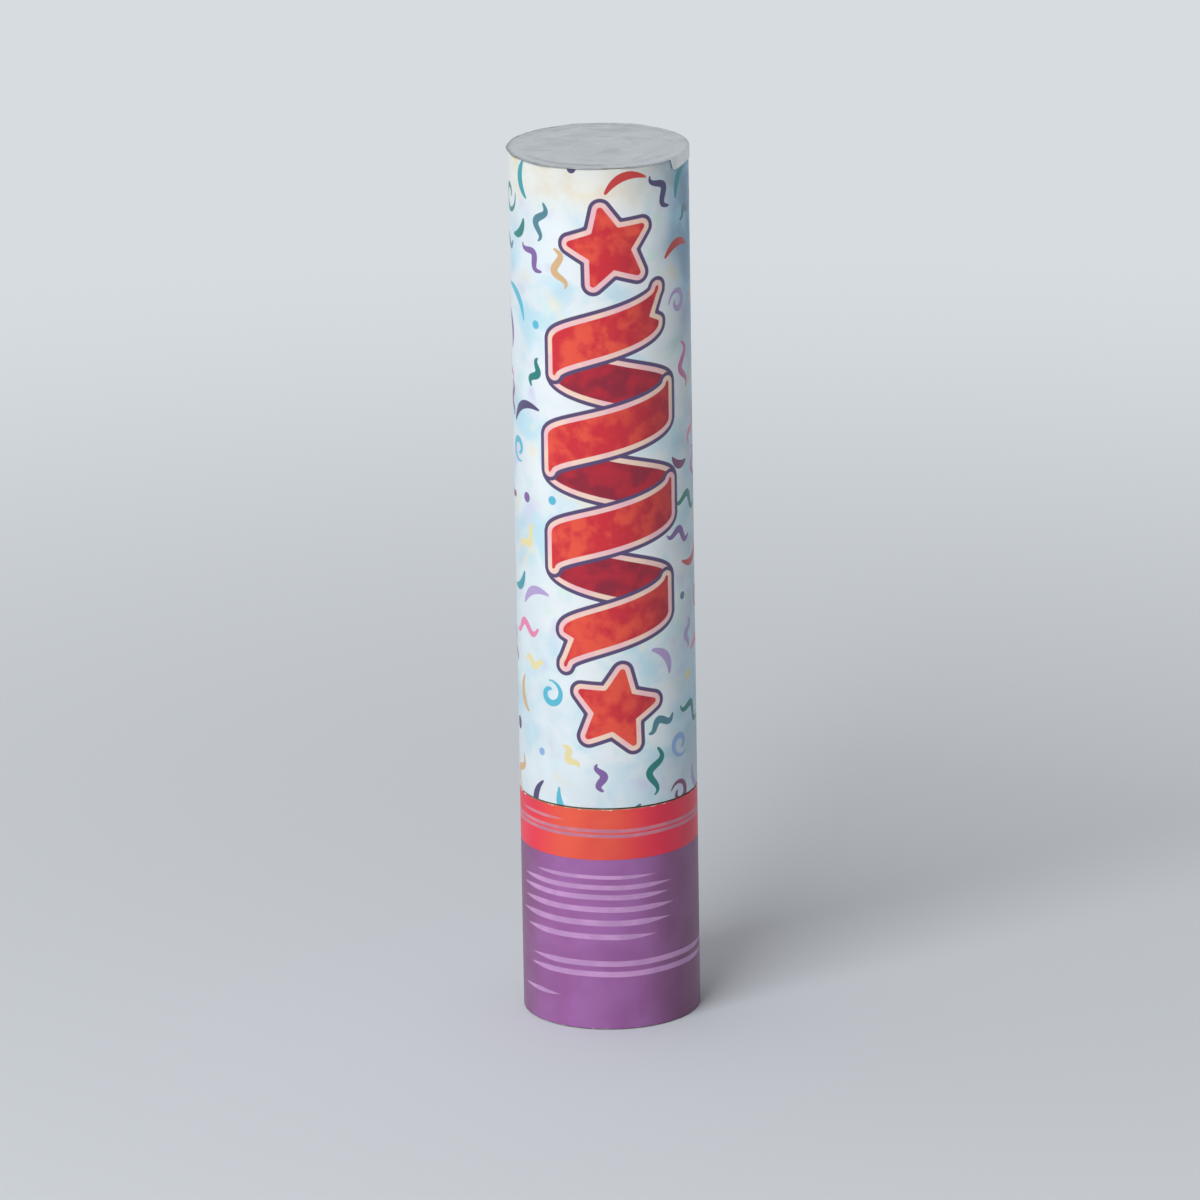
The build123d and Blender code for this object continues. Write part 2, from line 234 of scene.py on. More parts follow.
def coated_label_paper():
    """Coated paper, offset printed and varnished: clean ink edges, a satin film over soft printed clouds, a
    deep blue that is partly printed sky and partly painted shade beside the right edge, and a white core
    where the cut edges are rubbed."""
    material, tree, shader = start_material(
        "coated_label_paper", Roughness=0.42, IOR=1.5, Coat_Weight=0.15, Coat_Roughness=0.22
    )
    where = add(tree, "ShaderNodeTexCoord").outputs["Object"]
    near, far, fold, fleck, sky_and_shade_share, warm_share = (
        add(tree, "ShaderNodeAttribute", attribute_name=mark).outputs["Fac"]
        for mark in ("near_mm", "far_mm", "fold", "fleck_mm", "sky_and_shade", "warm")
    )
    fleck_ink = add(tree, "ShaderNodeAttribute", attribute_name="fleck_ink").outputs["Color"]

    ground = varied(
        tree, linear("#e7eef1"), linear("#c3e2ed"), where, 15.0, low=0.45, high=0.7, detail=3.0,
        distortion=0.4,
    )
    for tint, size, low, high in cloud_tints:
        ground = varied(tree, ground, linear(tint), where, size, low, high)
    cream = varied(tree, linear("#f1ecdf"), linear("#efdfc4"), where, 6.0, low=0.4, high=0.7)
    # deep blue: printed sky all round, and painted shade near the right of the front
    sky_and_shade = varied(
        tree, linear("#8acbe8"), linear("#528fb4"), where, 12.0, low=0.34, high=0.62, detail=3.0,
        distortion=0.6,
    )
    for amount, tone in ((warm_share, cream), (sky_and_shade_share, sky_and_shade)):
        inputs = {share: amount, under: ground, over: tone}
        ground = add(tree, "ShaderNodeMix", inputs, data_type="RGBA").outputs[mixed]
    ground = inked(tree, ground, fleck_ink, fleck, 0.0)

    red, dark = (
        varied(tree, linear(first), linear(second), where, 5.5, low=0.36, high=0.62, detail=3.0)
        for first, second in (("#e8503a", "#cf2231"), ("#b3182f", "#8d1230"))
    )
    shade = add(
        tree, "ShaderNodeMapRange", {"Value": fold, "From Min": -0.2, "From Max": 1.1, "To Max": 0.7},
        interpolation_type="SMOOTHSTEP",
    )
    inputs = {share: shade.outputs["Result"], under: red, over: dark}
    red = add(tree, "ShaderNodeMix", inputs, data_type="RGBA").outputs[mixed]
    rim = varied(tree, linear("#f1bfc6"), linear("#f3d3bf"), where, 7.0)
    for distance, fill in ((far, dark), (near, red)):
        ground = inked(tree, ground, linear("#54446e"), distance, outline_reach)
        ground = inked(tree, ground, rim, distance, rim_reach)
        ground = inked(tree, ground, fill, distance, 0.0)
    tree.links.new(rubbed(tree, ground, where), shader.inputs["Base Color"])
    grained(tree, shader, where, paper_grain, paper_relief)
    return material


def coated_lined_paper(name, roughness, front, sides, lines):
    """The same coated paper in one tone that goes over to another at the sides, under tapered lines; on the
    grip the second tone is a painted shade. Each tone is two close colours, the size of their patches, and
    how these spread."""
    material, tree, shader = start_material(
        name, Roughness=roughness, IOR=1.5, Coat_Weight=0.15, Coat_Roughness=0.25
    )
    where = add(tree, "ShaderNodeTexCoord").outputs["Object"]
    line, side_tone_and_shade = (
        add(tree, "ShaderNodeAttribute", attribute_name=mark).outputs["Fac"] for mark in ("line_mm", "side_tone_and_shade")
    )
    front, sides, lines = (
        varied(tree, linear(first), linear(second), where, size, **spread)
        for first, second, size, spread in (front, sides, lines)
    )
    # second tone at the sides: crimson print on the band, painted shade on the grip
    inputs = {share: side_tone_and_shade, under: front, over: sides}
    ground = add(tree, "ShaderNodeMix", inputs, data_type="RGBA").outputs[mixed]
    ground = inked(tree, ground, lines, line, 0.0)
    tree.links.new(rubbed(tree, ground, where), shader.inputs["Base Color"])
    grained(tree, shader, where, paper_grain, paper_relief)
    return material


roll_line = 3.0           # length of a line that the rolls leave in foil
roll_fineness = 9.0       # how much narrower than long it is
roll_relief = 0.02


def soft_aluminium_foil():
    """Household-weight aluminium foil, rolled and then pressed on by hand: dull silver with faint cloudy
    patches, darker along the rim where it is crimped and with a painted shade that is strongest at the left
    and back, and the fine lines of the roll, drawn coarser than they are so that they show."""
    material, tree, shader = start_material("soft_aluminium_foil", Metallic=1.0)
    where = add(tree, "ShaderNodeTexCoord").outputs["Object"]
    silver = varied(tree, linear("#dee0e0"), linear("#d8dadb"), where, 7.0, low=0.38, high=0.62, detail=3.0)
    # darker along the rim: the crimp, with a painted shade that is strongest at the left and back
    crimp_and_shade = add(tree, "ShaderNodeAttribute", attribute_name="crimp_and_shade").outputs["Fac"]
    inputs = {share: crimp_and_shade, under: silver, over: linear("#74787a")}
    silver = add(tree, "ShaderNodeMix", inputs, data_type="RGBA").outputs[mixed]
    tree.links.new(silver, shader.inputs["Base Color"])
    along = add(tree, "ShaderNodeMapping", {"Vector": where, "Scale": (1.0, roll_fineness, 1.0)})
    lines = add(
        tree, "ShaderNodeTexNoise",
        {"Vector": along.outputs["Vector"], "Scale": per(roll_line), "Detail": 4.0},
    ).outputs["Fac"]
    dull = add(
        tree, "ShaderNodeMapRange",
        {"Value": lines, "From Min": 0.3, "From Max": 0.7, "To Min": 0.26, "To Max": 0.38},
    )
    tree.links.new(dull.outputs["Result"], shader.inputs["Roughness"])
    bump = add(tree, "ShaderNodeBump", {"Height": lines, "Distance": roll_relief * mm, "Strength": 0.6})
    tree.links.new(bump.outputs["Normal"], shader.inputs["Normal"])
    return material


roughness_swing = 0.07    # either way, with the grain
tint_lift = 0.05          # share of white in the lighter patches of a dyed piece


def plain_material(name, first, second, patch, roughness, grain, relief, **values):
    """A finish of two close colours in patches, with its own fine relief and a roughness that follows it.
    Patch, grain and relief are sizes in mm."""
    material, tree, shader = start_material(name, **values)
    where = add(tree, "ShaderNodeTexCoord").outputs["Object"]
    colour = varied(tree, linear(first), linear(second), where, patch)
    tree.links.new(colour, shader.inputs["Base Color"])
    inputs = {
        "Value": grained(tree, shader, where, grain, relief), "From Min": 0.25, "From Max": 0.75,
        "To Min": roughness - roughness_swing, "To Max": roughness + roughness_swing,
    }
    dull = add(tree, "ShaderNodeMapRange", inputs)
    tree.links.new(dull.outputs["Result"], shader.inputs["Roughness"])
    return material


def tinted_material(name, patch, roughness, grain, relief, **values):
    """A finish whose colour is the piece's own tint, a little lighter in patches. Patch, grain and relief are
    sizes in mm."""
    material, tree, shader = start_material(name, Roughness=roughness, **values)
    where = add(tree, "ShaderNodeTexCoord").outputs["Object"]
    tint = add(tree, "ShaderNodeAttribute", attribute_name="tint").outputs["Color"]
    inputs = {share: tint_lift, under: tint, over: linear("#ffffff")}
    lighter = add(tree, "ShaderNodeMix", inputs, data_type="RGBA").outputs[mixed]
    tree.links.new(varied(tree, tint, lighter, where, patch), shader.inputs["Base Color"])
    grained(tree, shader, where, grain, relief)
    return material


label_paper = coated_label_paper()
cloudy = {"low": 0.3, "high": 0.7, "detail": 3.0}
patchy = {"low": 0.36, "high": 0.64}
# Coated paper in purple that goes over to plum at the sides, a painted shade at the right and at the left of
# the back, with tapered lilac lines
grip_paper = coated_lined_paper(
    "coated_grip_paper", roughness=0.44, front=("#a065a6", "#955896", 13.0, cloudy),
    sides=("#885585", "#7c4773", 13.0, cloudy), lines=("#cb98cd", "#bb8dc0", 6.0, {}),
)
# Coated paper in orange-red that goes over to crimson at the sides, with a pair of mauve lines
band_paper = coated_lined_paper(
    "coated_band_paper", roughness=0.42, front=("#eb5a40", "#e24a3e", 16.0, patchy),
    sides=("#f0264a", "#e42045", 12.0, patchy), lines=("#d7808f", "#c0768f", 7.0, {}),
)
aluminium_foil = soft_aluminium_foil()

# Spiral-wound chipboard: warm grey-brown pulp with lighter fibres and a dry, slightly fuzzy face
chipboard = plain_material(
    "spiral_wound_chipboard", "#b8a88e", "#9f8f76", patch=3.5, roughness=0.85, grain=0.7, relief=0.03,
    IOR=1.45,
)
# Injection-moulded polypropylene: near-black, satin, with a faint spark-eroded texture from the mould
black_polypropylene = plain_material(
    "moulded_polypropylene", "#232326", "#1b1b1d", patch=6.0, roughness=0.45, grain=0.5, relief=0.01,
    IOR=1.49,
)
# Moulded acetal: charcoal and waxy, smoother than the plug because it slides
charcoal_acetal = plain_material(
    "moulded_acetal", "#33363b", "#2b2d31", patch=8.0, roughness=0.34, grain=0.8, relief=0.006, IOR=1.48
)
# Moulded ABS: pale grey and fairly glossy, with slow waves where it shrank
grey_abs = plain_material(
    "moulded_abs", "#d6d9da", "#cbced0", patch=12.0, roughness=0.26, grain=4.0, relief=0.02, IOR=1.54
)
# Punched nylon sheet: ivory white with a dry sheen
ivory_nylon = plain_material(
    "punched_nylon", "#e8e4d8", "#ddd8ca", patch=5.0, roughness=0.42, grain=0.6, relief=0.008, IOR=1.53
)
# Turned brass: yellow metal, with the tool's marks kept as a fine grain
turned_brass = plain_material(
    "turned_brass", "#d4ac5e", "#bd9449", patch=2.5, roughness=0.24, grain=0.4, relief=0.004, Metallic=1.0
)
# Drawn steel wire and pin stock: grey, bright, with faint draw lines
drawn_steel = plain_material(
    "drawn_steel", "#b9bcbf", "#a4a8ac", patch=2.0, roughness=0.28, grain=0.3, relief=0.004, Metallic=1.0
)
# Moulded nitrile rubber: black and dull, with a dusty bloom
nitrile_rubber = plain_material(
    "moulded_nitrile", "#17171a", "#222225", patch=1.5, roughness=0.7, grain=0.25, relief=0.006, IOR=1.52
)
# Pressed wool felt: off-white with grey fibres matted together
wool_felt = plain_material(
    "pressed_wool_felt", "#d2cec4", "#b4afa4", patch=1.4, roughness=0.92, grain=0.35, relief=0.12, IOR=1.45,
    Sheen_Weight=0.35, Sheen_Roughness=0.5,
)
# Crepe streamer paper: dyed through, dry, with fine cross crinkles
crepe_paper = tinted_material(
    "dyed_crepe_paper", patch=2.0, roughness=0.82, grain=0.35, relief=0.04, IOR=1.45
)
# Tissue paper: dyed through, thin and dry
tissue_paper = tinted_material(
    "dyed_tissue_paper", patch=1.4, roughness=0.78, grain=1.0, relief=0.05, IOR=1.45
)
# Metallised film: lacquered colour over a mirror, slightly crinkled
metal_film = tinted_material(
    "metallised_film", patch=2.0, roughness=0.24, grain=2.2, relief=0.14, Metallic=1.0
)

dressed_solids = {
    chipboard: ["grip_tube", "barrel_tube", "pusher_disc"],
    black_polypropylene: ["base_plug"],
    charcoal_acetal: ["breech_collar", "stopper"],
    grey_abs: ["tank_cup", "tank_head"],
    ivory_nylon: ["slip_washer"],
    turned_brass: ["valve_body", "valve_nut", "valve_keeper", "valve_pin"],
    drawn_steel: ["retaining_clip", "lift_pin"],
    nitrile_rubber: ["tank_seal_ring", "stopper_seal_ring", "valve_gasket", "valve_pin_seal"],
}
for finish, nodes in dressed_solids.items():
    for node in nodes:
        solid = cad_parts[node].data
        solid.materials.clear()
        solid.materials.append(finish)


# Paper sleeves

paper = 0.28              # thickness, with its glue
lap_rise = 0.08           # step where the paper's end lies on its start
lap_width = 6.0
lap_slope = 1.5           # over which the paper climbs to its lap
lap_angle = 1.76          # radians from the front, on the far right
ply_width = 25.0          # board strips that the tube is wound from
ply_climb = 3             # strips side by side in one turn
ply_groove = 0.025        # depth where two strips meet
ply_joint = 0.9           # width there
lip = 0.06                # rounding of a cut edge
unworn = 9.0              # distance given to an edge that another sleeve covers


def sleeve(node, rows, columns, worn_low=True, worn_high=True):
    """A paper sleeve as a closed ring profile carried round the axis: outer wall upwards, rounded lip, inner
    wall downwards, rounded lip. Outer radius = the solid's, less the lap's step everywhere but on the lap,
    less a shallow groove along the board's helical joints. Returns the points, and the angle, level and
    distance to the nearest free edge of each."""
    low, high, radius = reach_of(node)
    levels = np.concatenate([np.linspace(low + lip, high - lip, rows), [high, high, low, low]])
    inset = np.concatenate([np.zeros(rows), [lip, paper, paper, lip]])[:, None]
    angle = lap_angle + np.linspace(0, full_turn, columns, endpoint=False)[None, :]
    to_lap = radius * (lap_angle + full_turn - angle)
    raised = ramp(-to_lap, -lap_width - lap_slope, -lap_width)
    level = levels[:, None] + 0 * angle
    joint = (level + ply_climb * ply_width * angle / full_turn) % ply_width - ply_width / 2
    groove = ply_groove * np.exp(-((joint / ply_joint) ** 2)) * (inset == 0)
    out = radius - inset - np.where(inset < paper, lap_rise * (1 - raised) + groove, 0)
    points = np.stack([out * np.sin(angle), -out * np.cos(angle), level], -1)
    from_lap = np.minimum(to_lap, radius * full_turn - to_lap)
    from_low = level - low + (0 if worn_low else unworn)
    from_high = high - level + (0 if worn_high else unworn)
    edge = np.minimum(np.minimum(from_low, from_high), from_lap)
    return points, angle + 0 * level, level, edge


def lay_sleeve(name, node, body, slot, material, rows, columns, inks, **worn):
    """Makes a sleeve with its print. Inks is the function that gives the print's marks."""
    points, angle, level, edge = sleeve(node, rows, columns, **worn)
    faces = skin(len(points), columns, wrap_rows=True)
    marks = {"edge_mm": edge, **inks(angle, level)}
    piece = build(name, points, faces, material, marks=marks)
    place(piece, body, slot, node)


# Printed design of the label: a red streamer wound between stars, and small curls and dots

label_radius = reach_of("barrel_wrap")[2]
label_turn = full_turn * label_radius
reach_far = 16.0          # distances to a drawing are kept up to this
star_points = 5
star_waist = 0.52         # inner corners, as a share of the radius
star_round = 0.9          # rounding of a star's corners
band_round = 0.5          # and of a streamer's
band_steps = 22           # points along half a turn
band_narrowing = 0.22     # how much narrower a streamer is wound at its ends
tail_notch = 5            # points of a band's line that its cut end is notched by


def star(radius, lean):
    """Five-pointed star: ten corners round a centre, every other one drawn in."""
    corner = np.arange(2 * star_points)
    out = np.where(corner % 2 == 0, radius, star_waist * radius) - star_round
    angle = math.radians(lean) + math.pi / star_points * corner
    return np.stack([out * np.sin(angle), out * np.cos(angle)], -1)


def streamer_bands(half_turns, half_width, pitch, band):
    """A ribbon wound on an upright helix, seen from the side: across = half width times the sine of the turn,
    up = pitch per turn, raised and lowered by half the band. Each half turn is one closed outline; even ones
    are near, odd ones far. The two free ends are notched to swallowtails."""
    outlines = []
    lift = np.array([0, band / 2])
    for k in range(half_turns):
        t = np.linspace(0, math.pi, band_steps) + math.pi * (k - 0.5)
        along = (t + math.pi / 2) / (math.pi * half_turns)
        width = half_width * (1 - band_narrowing * (2 * along - 1) ** 2)
        line = np.stack([width * np.sin(t), pitch * (along - 0.5) * half_turns / 2], -1)
        start = line[tail_notch:tail_notch + 1] if k == 0 else line[:0]
        end = line[-tail_notch - 1:-tail_notch] if k == half_turns - 1 else line[:0]
        outlines.append(np.concatenate([line + lift, end, (line - lift)[::-1], start]))
    return outlines


def outline_distance(across, up, outline):
    """Distance from points to a closed outline: the least to any of its edges, negative where a line from the
    point crosses the outline an odd number of times."""
    a, b = outline, np.roll(outline, -1, axis=0)
    edge = b - a
    point = np.stack([across, up], -1)[:, None, :]
    t = ((point - a) * edge).sum(-1) / np.maximum((edge ** 2).sum(-1), tiny)
    off = point - a - np.clip(t, 0, 1)[..., None] * edge
    gap = np.sqrt((off ** 2).sum(-1)).min(-1)
    rise = np.where(edge[:, 1] == 0, tiny, edge[:, 1])
    meets = a[:, 0] + edge[:, 0] * (up[:, None] - a[:, 1]) / rise
    crossed = ((a[:, 1] > up[:, None]) != (b[:, 1] > up[:, None])) & (across[:, None] < meets)
    return np.where(crossed.sum(-1) % 2 == 1, -gap, gap)


def stroke_distance(across, up, line, half_width):
    """Distance from points to a tapered stroke: to each run of its line, less the run's half width there."""
    a, edge = line[:-1], np.diff(line, axis=0)
    point = np.stack([across, up], -1)[:, None, :]
    t = np.clip(((point - a) * edge).sum(-1) / np.maximum((edge ** 2).sum(-1), tiny), 0, 1)
    off = point - a - t[..., None] * edge
    width = half_width[:-1] + t * np.diff(half_width)
    return (np.sqrt((off ** 2).sum(-1)) - width).min(-1)


def near_drawing(across, up, centre, outline):
    """Points near a drawing, and their place from its centre, counted the short way round the tube."""
    across = short_way(across - centre[0], label_turn)
    up = up - centre[1]
    low, high = outline.min(0) - reach_far, outline.max(0) + reach_far
    near = (across > low[0]) & (across < high[0]) & (up > low[1]) & (up < high[1])
    return near, across, up


front_column, back_column = 2.5, 81.0

# Outlined stars: place along and up the label, radius, lean in degrees
label_stars = [
    (front_column, 94.0, 12.0, 10), (front_column, 227.0, 12.0, -12),
    (back_column, 94.0, 12.0, -14), (back_column, 227.0, 12.0, 8),
]

# Wound streamers: place, half turns, half width, pitch, band
label_streamers = [
    (front_column, 160.5, 7, 18.5, 28.0, 10.0), (back_column, 160.5, 7, 18.5, 28.0, 10.0),
]


def drawing_marks(across, up):
    """Distances to the near bands of the streamers with the stars and to the far bands, and the place across
    a streamer, from -1 at its left to 1 at its right."""
    near_mm = np.full(across.size, reach_far)
    far_mm = near_mm.copy()
    fold = np.zeros(across.size)

    def draw(kept, centre, outline, rounding):
        """Keeps the least distance to an outline so far, less its rounding."""
        near, x, y = near_drawing(across, up, centre, outline)
        kept[near] = np.minimum(kept[near], outline_distance(x[near], y[near], outline) - rounding)
        return near, x

    for s, z, radius, lean in label_stars:
        draw(near_mm, (s, z), star(radius, lean), star_round)
    for s, z, half_turns, half_width, pitch, band in label_streamers:
        for k, outline in enumerate(streamer_bands(half_turns, half_width, pitch, band)):
            near, x = draw(far_mm if k % 2 else near_mm, (s, z), outline, band_round)
            fold[near] = x[near] / half_width
    return near_mm, far_mm, fold


fleck_inks = [
    "#1f7d78", "#4f8290", "#57b8d2", "#7f4468", "#e684ab", "#80609f", "#d6b083", "#e8dca6", "#c63a3a",
    "#4d4470", "#b39fce", "#8fb0dc", "#2f9aa6", "#c76a9c",
]
fleck_kinds = {"curl": 0.4, "dash": 0.3, "dot": 0.12, "hook": 0.18}     # and the share of each
fleck_count = 125
fleck_tries = 40          # for each fleck, at most
fleck_sizes = (7.0, 14.0)
fleck_spacing = 9.5
fleck_room = (3.4, 0.3)   # clear of a drawing: so much, and this share of the fleck's size
fleck_steps = 33          # points along a fleck's line
taper_start, taper_span = 0.12, 0.8     # part of a half sine wave that a line's width follows

# Heights and reaches as shares of a fleck's size, and half widths
curl_height, curl_waves, curl_half = 0.13, 1.4, 1.1
dash_bow, dash_half = 0.22, 1.25
dot_length, dot_share, dot_half = 0.02, 0.12, 0.3
hook_start, hook_growth, hook_turns, hook_half, hook_least = 0.13, 0.25, 1.05, 0.95, 10.0


def fleck_line(kind, size, chance):
    """Line and half widths of one small drawing about its own centre: a wavy curl, a sine along a straight
    line; a bent dash, an arc; a dot, a point with a width; or a hook, a spiral of growing radius."""
    t = np.linspace(0, 1, fleck_steps)
    taper = np.sin(math.pi * (taper_start + taper_span * t))
    if kind == "curl":
        line = np.stack([size * (t - 0.5), curl_height * size * np.sin(full_turn * curl_waves * t)], -1)
        width = curl_half * taper
    elif kind == "dash":
        line = np.stack([size * (t - 0.5), dash_bow * size * (1 - (2 * t - 1) ** 2)], -1)
        width = dash_half * taper
    elif kind == "dot":
        line = np.stack([dot_length * (t - 0.5), 0 * t], -1)
        width = dot_share * size + dot_half + 0 * t
    else:
        out = max(size, hook_least) * (hook_start + hook_growth * t)
        turn = hook_turns * full_turn * t
        line = np.stack([out * np.cos(turn), out * np.sin(turn)], -1)
        width = hook_half * taper
    lean = chance.uniform(0, full_turn)
    turned = np.array([[math.cos(lean), math.sin(lean)], [-math.sin(lean), math.cos(lean)]])
    return line @ turned, width


def fleck_marks(across, up, clear):
    """Distance to the nearest fleck, and that fleck's ink. Flecks lie at seeded picks of the label's points,
    less those that are too near a drawing or another fleck."""
    chance = np.random.default_rng(41)
    fleck_mm = np.full(across.size, reach_far)
    fleck_ink = np.ones((across.size, 4))
    centres = np.zeros((0, 2))
    for _ in range(fleck_tries * fleck_count):
        if len(centres) == fleck_count:
            break
        pick = chance.integers(across.size)
        centre = np.array([across[pick], up[pick]])
        size = chance.uniform(*fleck_sizes)
        off = centres - centre
        crowded = (np.hypot(short_way(off[:, 0], label_turn), off[:, 1]) < fleck_spacing).any()
        if crowded or clear[pick] < fleck_room[0] + fleck_room[1] * size:
            continue
        centres = np.vstack([centres, centre])
        kind = chance.choice(list(fleck_kinds), p=list(fleck_kinds.values()))
        line, width = fleck_line(kind, size, chance)
        ink = linear(fleck_inks[chance.integers(len(fleck_inks))])
        near, x, y = near_drawing(across, up, centre, line)
        distance = stroke_distance(x[near], y[near], line, width)
        here = np.flatnonzero(near)[distance < fleck_mm[near]]
        fleck_ink[here] = ink
        fleck_mm[near] = np.minimum(fleck_mm[near], distance)
    return fleck_mm, fleck_ink


sky_shade_middle, sky_shade_width = 36.5, 16.0      # where the printed sky is deepest, to the right of the front, and deepened there by painted shade
sky_all_round = 0.14      # its share elsewhere
sky_below = 0.35          # its share under the levels where it deepens
# levels where the sky and its painted shade start to deepen and are full
sky_shade_rise = (190.0, 226.0)
sky_clear = (3.0, 13.0)   # from a drawing's edge, where it starts and is full
warm_rise = (234.0, 243.0)              # levels where the cream below the mouth starts and is full
warm_mean, warm_swing, warm_turn = 0.45, 0.4, 0.6       # its share, more of it a little left of the front


def ground_marks(across, up, clear):
    """Shares of deep sky, a bell curve round the tube that grows with the level and is partly painted shade,
    and of warm cream.
    """
    beside = np.exp(-(short_way(across - sky_shade_middle, label_turn) / sky_shade_width) ** 2)
    deeper = sky_below + (1 - sky_below) * ramp(up, *sky_shade_rise)
    sky_and_shade = ramp(clear, *sky_clear) * (sky_all_round + (1 - sky_all_round) * beside * deeper)
    warm = ramp(up, *warm_rise) * (warm_mean + warm_swing * np.cos(across / label_radius + warm_turn))
    return sky_and_shade, warm


def label_marks(angle, level):
    """What the label's points know of the print, and of the painted shade beside its right edge."""
    across, up = label_radius * angle.ravel(), level.ravel()
    near_mm, far_mm, fold = drawing_marks(across, up)
    clear = np.minimum(near_mm, far_mm)
    fleck_mm, fleck_ink = fleck_marks(across, up, clear)
    sky_and_shade, warm = ground_marks(across, up, clear)
    return {
        "near_mm": near_mm, "far_mm": far_mm, "fold": fold, "fleck_mm": fleck_mm, "sky_and_shade": sky_and_shade, "warm": warm,
        "fleck_ink": fleck_ink,
    }


# Printed lines of the grip and the band: level, half width, and the degrees where one starts and ends

line_taper = 0.6          # radians over which a line narrows
line_wavers = [(0.1, 3, 1.0), (0.06, 7, 0.0)]           # height, waves in a turn, and where they start
whole = (-91.0, 91.0 + 2 * math.degrees(line_taper))    # ends that leave no gap
grip_lines = [
    (44.9, 0.55, -70, 44), (41.9, 0.7, -84, 56), (39.0, 0.75, -86, 54), (35.4, 0.8, -84, 58),
    (31.4, 0.85, -86, 53), (27.3, 0.8, -80, 42), (19.4, 0.8, -72, 100), (16.3, 0.8, -76, 100),
    (9.0, 0.7, -86, -22),
]
band_lines = [(61.2, 0.45, -90, -14), (58.6, 0.5, *whole), (57.1, 0.5, *whole)]
tone_side = math.radians(75)            # where the second tone is full, and again half a turn on: a painted shade on the grip, crimson print on the band
grip_shade_tones, band_tones = (0.45, 0.95), (0.2, 0.85)      # cosines off that side: none of it, and all


def lined_marks(angle, level, lines, tones):
    """What a lower sleeve's points know of the print: the distance beyond the edge of the nearest line, with
    a slow waver, and how far the colour has gone over to its second tone, which on the grip is a painted
    shade.
    A line narrows to a point at each end, and it is printed once on the front and once on the back."""
    waver = sum(size * np.sin(waves * angle + start) for size, waves, start in line_wavers)
    gaps = []
    for z, half, start, end in lines:
        middle, reach = math.radians((start + end) / 2), math.radians((end - start) / 2)
        full = ramp(reach - np.abs(short_way(angle - middle, math.pi)), 0, line_taper)
        gaps.append(np.abs(level + waver - z) - half * full + 2 * ink_edge * (1 - full))
    return {"line_mm": np.min(gaps, axis=0), "side_tone_and_shade": ramp(np.abs(np.cos(angle - tone_side)), *tones)}


def grip_marks(angle, level):
    """What the grip paper's points know of the print, and of the painted shade at its sides."""
    return lined_marks(angle, level, grip_lines, grip_shade_tones)


def band_marks(angle, level):
    """What the band's points know of the print."""
    return lined_marks(angle, level, band_lines, band_tones)


lay_sleeve(
    "label_sleeve", "barrel_wrap", "barrel", "barrel_print", label_paper, rows=334, columns=286,
    inks=label_marks, worn_high=False,
)
lay_sleeve(
    "grip_sleeve", "grip_wrap", "grip", "grip_print", grip_paper, rows=168, columns=180, inks=grip_marks,
    worn_high=False,
)
lay_sleeve(
    "band_sleeve", "red_band", "grip", "band_print", band_paper, rows=50, columns=180, inks=band_marks,
    worn_low=False,
)


# Foil over the mouth

foil_sheet = 0.1          # thickness as it lies
foil_room = 0.03          # clear of the label, and of the solid's outside
foil_level = 0.11         # of the flat foil below the solid's top
foil_highest = 0.005      # below that top, at least
rim_lowest = 0.26         # and at most over the board's edge
foil_dish = 0.12          # how far the middle is pressed in
dish_slope = 7.0          # over which it comes up to the board
mouth_wall = 2.1          # from the label's face to the inside of the board
rim_groove = (0.25, 0.6, 0.9)           # pressed in along the board: depth, place inside it, width

# How far the edge is turned down, and how unevenly: all round, more at the back, and at the flap
edge_turned, rear_turned, flap_turned = (0.16, 0.2), (0.8, 0.9), (2.8, 0.9)
edge_tears, edge_pleats = 46, 70        # uneven places round the edge
rear_rise = (120, 165)                  # degrees from the front where the back's edge starts and is full
flap_start, flap_end = 53.0, 108.0      # degrees round the rim where the edge is turned well down
flap_cut, flap_fade = 1.5, 6.0          # degrees that its front and back ends take
flare_out, flare_swing = 0.05, 0.09     # how far the turned edge stands out, and how unevenly

# Corners of the rim, where a fold stands out: degrees, and how far out
foil_corners = {
    -165: 0.9, -140: 0.4, -111: 0.9, -90: 1.0, -69: 0.5, -39: 0.9, -12: 0.4, 20: 0.5, 44: 0.8, 57: 0.6,
    90: 0.4, 118: 0.5, 153: 0.9,
}
corner_width = 13.0       # degrees that a corner takes on each side

# Seeded creases and swells: ranges of their sizes
crease_count = 34
crease_offset, crease_shift = (-22, 22), (-14, 14)      # from the middle, off its line and along it
crease_height, crease_width, crease_reach = (0.05, 0.15), (0.6, 1.6), (6, 14)
swell_count = 9
swell_jitter = (0.1, 0.9)               # of the step from one swell's direction to the next
swell_length, swell_start = (7, 15), (0, 3)
swell_slope, swell_crest = 0.006, 0.6   # height for each mm of length, and where the crest lies
bend_height, bend_length, bend_start = 1.6, (4, 7), (0, 6)
dent_height, dent_across, dent_along = 0.1, (5.1, 0.7), (4.3, 1.9)
pucker_height, pucker_rise = 0.07, (-5, 1)              # pleats near the board's inside
relief_on_board, board_rise = 0.25, (-1.5, 0.5)         # share of the relief that stays over the board
rim_band = 1.2            # inside the board's edge, where the foil is held up
# Darkening along the rim: a crimp, tighter where the edge is pleated, and a painted shade of the turned
# edge's overhang
crimp_shade_width, crimp_least = 0.7, 0.4
shade_at_right, shade_at_rear, shade_rise = 0.35, 0.4, (-0.2, 0.8)    # painted shade: less of it at the right, more at the back


